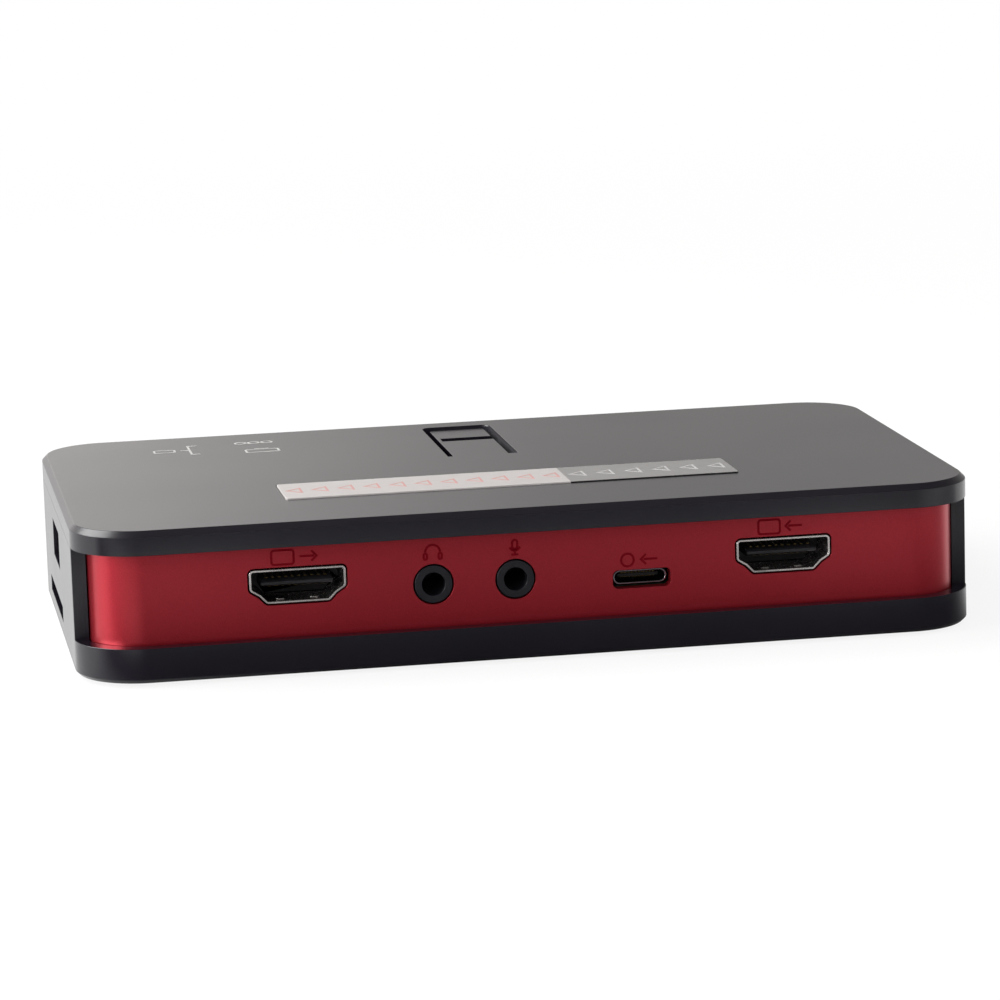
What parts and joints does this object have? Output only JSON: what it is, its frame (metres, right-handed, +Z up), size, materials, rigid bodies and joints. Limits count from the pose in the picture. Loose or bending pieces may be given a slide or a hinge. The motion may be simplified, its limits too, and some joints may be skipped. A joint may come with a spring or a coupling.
{
  "type": "video capture box",
  "caption": "Flat two-shell box that records video: set-back side panels, sockets on the port side and end walls, and a hinged record key in the lid.",
  "frame": {"origin": "on the surface that the feet stand on, under the middle of the case", "axes": "+X along the port side to the right as seen from that side, the port side faces -Y, +Z up"},
  "size_m": [0.1404, 0.083, 0.0242],
  "materials": {
    "case_plastic": "satin black moulded plastic",
    "panel_plastic": "satin deep red",
    "label_foil": "satin two-tone foil",
    "foot_rubber": "matt",
    "screw_steel": "plated",
    "board_laminate": "green solder mask",
    "socket_metal": "bright plated",
    "socket_plastic": "matt black",
    "jack_plastic": "satin black",
    "contact_brass": "gold plated",
    "chip_epoxy": "matt",
    "sink_aluminium": "plain"
  },
  "bodies": {
    "case": {"upper_shell": "case_plastic", "lower_shell": "case_plastic", "port_panel": "panel_plastic", "user_panel": "panel_plastic", "label_strip": "label_foil", "rubber_feet": "foot_rubber", "case_screws": "screw_steel", "main_board": "board_laminate", "board_screws": "screw_steel", "video_out_shell": "socket_metal", "video_out_insert": "socket_plastic", "video_out_contacts": "contact_brass", "video_in_shell": "socket_metal", "video_in_insert": "socket_plastic", "video_in_contacts": "contact_brass", "line_out_jack": "jack_plastic", "mic_jack": "jack_plastic", "jack_terminals": "contact_brass", "av_in_shell": "socket_metal", "av_in_insert": "socket_plastic", "av_in_contacts": "contact_brass", "host_socket_shell": "socket_metal", "host_socket_insert": "socket_plastic", "host_socket_contacts": "contact_brass", "card_socket_frame": "socket_plastic", "card_socket_cover": "socket_metal", "card_socket_contacts": "contact_brass", "power_inlet_body": "socket_plastic", "power_inlet_pin": "socket_metal", "power_inlet_terminals": "contact_brass", "record_switch_base": "socket_plastic", "record_switch_cover": "socket_metal", "processor_chip": "chip_epoxy", "heat_sink": "sink_aluminium", "memory_chips": "chip_epoxy", "flash_chip": "chip_epoxy", "video_receiver_chip": "chip_epoxy", "video_sender_chip": "chip_epoxy", "audio_chip": "chip_epoxy", "capacitors": "sink_aluminium", "inductors": "chip_epoxy", "crystals": "socket_metal"},
    "key": {"record_key": "case_plastic", "record_switch_plunger": "socket_plastic"}
  },
  "joints": [
    {"name": "record_press", "type": "hinge", "parent": "case", "child": "key", "pos_m": [0.0002, 0.00744, 0.0229], "axis": [-1, 0, 0], "range_deg": [0, 1], "stiffness_Nm_per_rad": 1.5}
  ]
}
